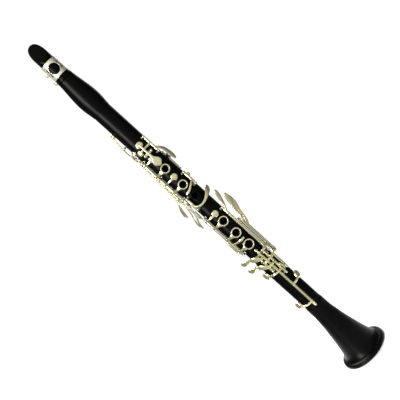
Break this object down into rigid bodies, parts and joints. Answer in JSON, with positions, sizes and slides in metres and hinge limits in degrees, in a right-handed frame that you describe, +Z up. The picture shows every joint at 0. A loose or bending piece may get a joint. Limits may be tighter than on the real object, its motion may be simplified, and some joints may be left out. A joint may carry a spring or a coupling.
{
  "type": "clarinet",
  "caption": "Straight single-reed woodwind with a flared bell, sprung keys and finger rings, standing on its bell.",
  "frame": {"origin": "centre of the bell rim's bottom face", "axes": "+Z up the body to the mouthpiece tip, -Y out of the finger holes, +X to the right of a viewer who faces them"},
  "size_m": [0.078, 0.078, 0.66],
  "materials": {
    "body_resin": "black, polished",
    "mouthpiece_ebonite": "black hard rubber, satin polish",
    "key_plate": "warm silver plate, polished",
    "ligature_metal": "warm silver plate, polished",
    "pivot_steel": "plated posts and steel rods",
    "cork": "cork, waxed",
    "cane": "bare cane"
  },
  "bodies": {
    "body": {"bell": "body_resin", "lower_joint": "body_resin", "upper_joint": "body_resin", "top_tenon_cork": "cork", "middle_tenon_cork": "cork", "bell_tenon_cork": "cork", "thumb_rest": "key_plate", "a_pivot": "pivot_steel", "c_sharp_pivot": "pivot_steel", "f_pivot": "pivot_steel", "f_sharp_pivot": "pivot_steel", "g_sharp_pivot": "pivot_steel", "left_e_pivot": "pivot_steel", "left_f_pivot": "pivot_steel", "left_f_sharp_pivot": "pivot_steel", "left_ring_pivot": "pivot_steel", "left_sliver_pivot": "pivot_steel", "long_stack_pivot": "pivot_steel", "lower_trill_pivot": "pivot_steel", "register_pivot": "pivot_steel", "right_ring_pivot": "pivot_steel", "right_sliver_pivot": "pivot_steel", "thumb_ring_pivot": "pivot_steel", "upper_trill_pivot": "pivot_steel"},
    "barrel": {"barrel": "body_resin", "mouthpiece": "mouthpiece_ebonite", "mouthpiece_cork": "cork", "reed": "cane", "ligature": "ligature_metal"},
    "ligature_screw_upper": {"ligature_screw_upper": "ligature_metal"},
    "ligature_screw_lower": {"ligature_screw_lower": "ligature_metal"},
    "register_key": {"register_key": "key_plate"},
    "a_key": {"a_key": "key_plate"},
    "g_sharp_key": {"g_sharp_key": "key_plate"},
    "left_sliver_key": {"left_sliver_key": "key_plate"},
    "c_sharp_key": {"c_sharp_key": "key_plate"},
    "thumb_ring_key": {"thumb_ring_key": "key_plate"},
    "index_ring_key": {"index_ring_key": "key_plate"},
    "middle_ring_key": {"middle_ring_key": "key_plate"},
    "right_ring_key": {"right_ring_key": "key_plate"},
    "right_sliver_key": {"right_sliver_key": "key_plate"},
    "a_flat_key": {"a_flat_key": "key_plate"},
    "f_sharp_key": {"f_sharp_key": "key_plate"},
    "f_key": {"f_key": "key_plate"},
    "e_key": {"e_key": "key_plate"},
    "side_key_1": {"side_key_1": "key_plate"},
    "side_key_2": {"side_key_2": "key_plate"},
    "side_key_3": {"side_key_3": "key_plate"},
    "side_key_4": {"side_key_4": "key_plate"},
    "left_e_lever": {"left_e_lever": "key_plate"},
    "left_f_sharp_lever": {"left_f_sharp_lever": "key_plate"},
    "left_f_lever": {"left_f_lever": "key_plate"}
  },
  "joints": [
    {"name": "register_key_hinge", "type": "hinge", "parent": "body", "child": "register_key", "pos_m": [-0.01859, -0.00065, 0.47], "axis": [0.0349, -0.9994, 0], "range_deg": [0, 4.84], "stiffness_Nm_per_rad": 0.02, "springref_deg": -11.46},
    {"name": "a_key_hinge", "type": "hinge", "parent": "body", "child": "a_key", "pos_m": [0, -0.0196, 0.4415], "axis": [1, 0, 0], "range_deg": [0, 6.6], "stiffness_Nm_per_rad": 0.02, "springref_deg": -11.46},
    {"name": "g_sharp_key_hinge", "type": "hinge", "parent": "body", "child": "g_sharp_key", "pos_m": [0.01271, -0.01412, 0.44775], "axis": [0, 0, 1], "range_deg": [0, 6.06], "stiffness_Nm_per_rad": 0.02, "springref_deg": -11.46},
    {"name": "left_sliver_key_hinge", "type": "hinge", "parent": "body", "child": "left_sliver_key", "pos_m": [0.01372, -0.01372, 0.3755], "axis": [0, 0, -1], "range_deg": [0, 5.85], "stiffness_Nm_per_rad": 0.02, "springref_deg": -11.46},
    {"name": "c_sharp_key_hinge", "type": "hinge", "parent": "body", "child": "c_sharp_key", "pos_m": [-0.01194, -0.01529, 0.347], "axis": [0, 0, 1], "range_deg": [0, 6.75], "stiffness_Nm_per_rad": 0.02, "springref_deg": -11.46},
    {"name": "thumb_ring_key_hinge", "type": "hinge", "parent": "body", "child": "thumb_ring_key", "pos_m": [0.01486, 0.01247, 0.4095], "axis": [0, 0, -1], "range_deg": [0, 6.74], "stiffness_Nm_per_rad": 0.02, "springref_deg": -11.46},
    {"name": "index_ring_key_hinge", "type": "hinge", "parent": "body", "child": "index_ring_key", "pos_m": [-0.0168, -0.0097, 0.4212], "axis": [0, 0, 1], "range_deg": [0, 5.2], "stiffness_Nm_per_rad": 0.02, "springref_deg": -11.46},
    {"name": "middle_ring_key_hinge", "type": "hinge", "parent": "body", "child": "middle_ring_key", "pos_m": [-0.0168, -0.0097, 0.3825], "axis": [0, 0, 1], "range_deg": [0, 4.6], "stiffness_Nm_per_rad": 0.02, "springref_deg": -11.46},
    {"name": "right_ring_key_hinge", "type": "hinge", "parent": "body", "child": "right_ring_key", "pos_m": [-0.0168, -0.0097, 0.28], "axis": [0, 0, 1], "range_deg": [0, 4.6], "stiffness_Nm_per_rad": 0.02, "springref_deg": -11.46},
    {"name": "right_sliver_key_hinge", "type": "hinge", "parent": "body", "child": "right_sliver_key", "pos_m": [-0.01935, -0.00135, 0.257], "axis": [0, 0, 1], "range_deg": [0, 3.68], "stiffness_Nm_per_rad": 0.02, "springref_deg": -11.46},
    {"name": "a_flat_key_hinge", "type": "hinge", "parent": "body", "child": "a_flat_key", "pos_m": [0, -0.0194, 0.19425], "axis": [0, 0, -1], "range_deg": [0, 6.14], "stiffness_Nm_per_rad": 0.02, "springref_deg": -11.46},
    {"name": "f_sharp_key_hinge", "type": "hinge", "parent": "body", "child": "f_sharp_key", "pos_m": [-0.00567, -0.01855, 0.20575], "axis": [0, 0, -1], "range_deg": [0, 4.58], "stiffness_Nm_per_rad": 0.02, "springref_deg": -11.46},
    {"name": "f_key_hinge", "type": "hinge", "parent": "body", "child": "f_key", "pos_m": [0.00664, -0.01823, 0.201], "axis": [0, 0, -1], "range_deg": [0, 4.77], "stiffness_Nm_per_rad": 0.02, "springref_deg": -11.46},
    {"name": "e_key_hinge", "type": "hinge", "parent": "body", "child": "e_key", "pos_m": [0, -0.0194, 0.1366], "axis": [0, 0, -1], "range_deg": [0, 5.02], "stiffness_Nm_per_rad": 0.02, "springref_deg": -11.46},
    {"name": "side_key_1_hinge", "type": "hinge", "parent": "body", "child": "side_key_1", "pos_m": [-0.01905, -0.0021, 0.418], "axis": [-0.0872, -0.9962, 0], "range_deg": [0, 3.17], "stiffness_Nm_per_rad": 0.02, "springref_deg": -11.46},
    {"name": "side_key_2_hinge", "type": "hinge", "parent": "body", "child": "side_key_2", "pos_m": [-0.0184, 0.00537, 0.418], "axis": [-0.0872, -0.9962, 0], "range_deg": [0, 3.2], "stiffness_Nm_per_rad": 0.02, "springref_deg": -11.46},
    {"name": "side_key_3_hinge", "type": "hinge", "parent": "body", "child": "side_key_3", "pos_m": [-0.01681, 0.00921, 0.38], "axis": [-0.6428, -0.766, 0], "range_deg": [0, 2.89], "stiffness_Nm_per_rad": 0.02, "springref_deg": -11.46},
    {"name": "side_key_4_hinge", "type": "hinge", "parent": "body", "child": "side_key_4", "pos_m": [-0.01199, 0.01496, 0.38], "axis": [-0.6428, -0.766, 0], "range_deg": [0, 2.92], "stiffness_Nm_per_rad": 0.02, "springref_deg": -11.46},
    {"name": "left_e_lever_hinge", "type": "hinge", "parent": "body", "child": "left_e_lever", "pos_m": [0.01801, -0.00958, 0.25375], "axis": [0, 0, 1], "range_deg": [0, 4.08]},
    {"name": "left_f_sharp_lever_hinge", "type": "hinge", "parent": "body", "child": "left_f_sharp_lever", "pos_m": [0.02029, -0.00213, 0.241], "axis": [0, 0, 1], "range_deg": [0, 3.5]},
    {"name": "left_f_lever_hinge", "type": "hinge", "parent": "body", "child": "left_f_lever", "pos_m": [0.01323, -0.01419, 0.2475], "axis": [0, 0, 1], "range_deg": [0, 1.82]},
    {"name": "barrel_slide", "type": "slide", "parent": "body", "child": "barrel", "axis": [0, 0, 1], "range_m": [0, 0.003]},
    {"name": "ligature_screw_upper_turn", "type": "hinge", "parent": "barrel", "child": "ligature_screw_upper", "pos_m": [-0.01, 0.0172, 0.6184], "axis": [1, 0, 0], "range_deg": [-180, 180]},
    {"name": "ligature_screw_lower_turn", "type": "hinge", "parent": "barrel", "child": "ligature_screw_lower", "pos_m": [-0.01, 0.0172, 0.6024], "axis": [1, 0, 0], "range_deg": [-180, 180]}
  ],
  "couplings": [
    {"joint": "left_e_lever_hinge", "follows": "e_key_hinge", "ratio": 0.7527},
    {"joint": "left_f_sharp_lever_hinge", "follows": "f_sharp_key_hinge", "ratio": 0.6989},
    {"joint": "left_f_lever_hinge", "follows": "f_key_hinge", "ratio": 0.3187}
  ]
}
